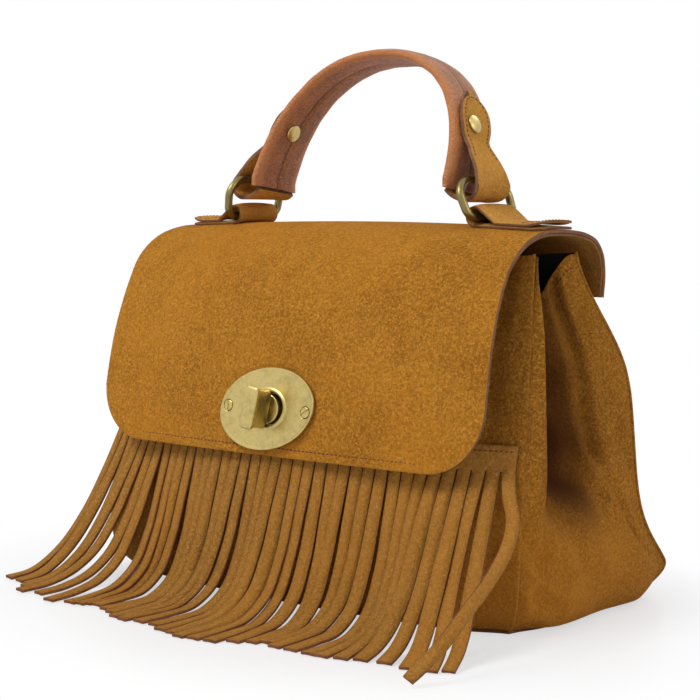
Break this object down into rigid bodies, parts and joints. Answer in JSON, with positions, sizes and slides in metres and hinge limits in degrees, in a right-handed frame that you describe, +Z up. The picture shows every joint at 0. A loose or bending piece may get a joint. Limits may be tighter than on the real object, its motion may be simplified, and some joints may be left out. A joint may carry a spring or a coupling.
{
  "type": "fringed suede handbag",
  "caption": "Tan suede handbag with a fold-over flap, an antique brass turn lock, a fringe along the front and a ringed leather top handle.",
  "frame": {"origin": "on the flat underside of the base, below the middle of the line through the two rings' lower bars", "axes": "+X to the wearer's right side seen from the front, +Y to the back, +Z up; the flap, the lock and the fringe face -Y"},
  "size_m": [0.3399, 0.2569, 0.3093],
  "materials": {
    "suede": "tan suede, napped",
    "fringe_suede": "tan suede, cut strips",
    "facing_suede": "suede backing",
    "smooth_leather": "smooth reddish-brown leather",
    "lining_cloth": "dark woven lining",
    "antique_brass": "antiqued brass"
  },
  "bodies": {
    "bag": {"front_panel": "suede", "back_panel": "suede", "gusset_left": "suede", "gusset_right": "suede", "base_panel": "suede", "fringe_panel": "fringe_suede", "flap": "suede", "flap_facing": "facing_suede", "lining": "lining_cloth", "base_tab_left": "suede", "base_tab_right": "suede", "lock_plate": "antique_brass", "lock_back_plate": "antique_brass", "lock_screw_left": "antique_brass", "lock_screw_right": "antique_brass", "lock_base": "antique_brass", "lock_washer": "antique_brass"},
    "knob": {"lock_knob": "antique_brass"},
    "left_ring": {"ring_left": "antique_brass"},
    "right_ring": {"ring_right": "antique_brass"},
    "handle": {"handle_grip": "smooth_leather", "handle_tab_left": "suede", "handle_tab_right": "suede", "rivet_left": "antique_brass", "rivet_right": "antique_brass", "rivet_back_left": "antique_brass", "rivet_back_right": "antique_brass"}
  },
  "joints": [
    {"name": "ring_left_swing", "type": "hinge", "parent": "bag", "child": "left_ring", "pos_m": [-0.0886, 0, 0.21275], "axis": [0, 1, 0], "range_deg": [-6, 20]},
    {"name": "ring_right_swing", "type": "hinge", "parent": "bag", "child": "right_ring", "pos_m": [0.0886, 0, 0.21275], "axis": [0, 1, 0], "range_deg": [-7, 22]},
    {"name": "handle_sway", "type": "hinge", "parent": "left_ring", "child": "handle", "pos_m": [-0.08516, 0, 0.23448], "axis": [0, 1, 0], "range_deg": [-23, 8]},
    {"name": "lock_turn", "type": "hinge", "parent": "bag", "child": "knob", "pos_m": [0, -0.08391, 0.109], "axis": [0, -0.9909, 0.1348], "range_deg": [0, 90]}
  ],
  "couplings": [
    {"joint": "ring_right_swing", "follows": "ring_left_swing", "ratio": 1.02},
    {"joint": "handle_sway", "follows": "ring_left_swing", "ratio": -1.054}
  ]
}
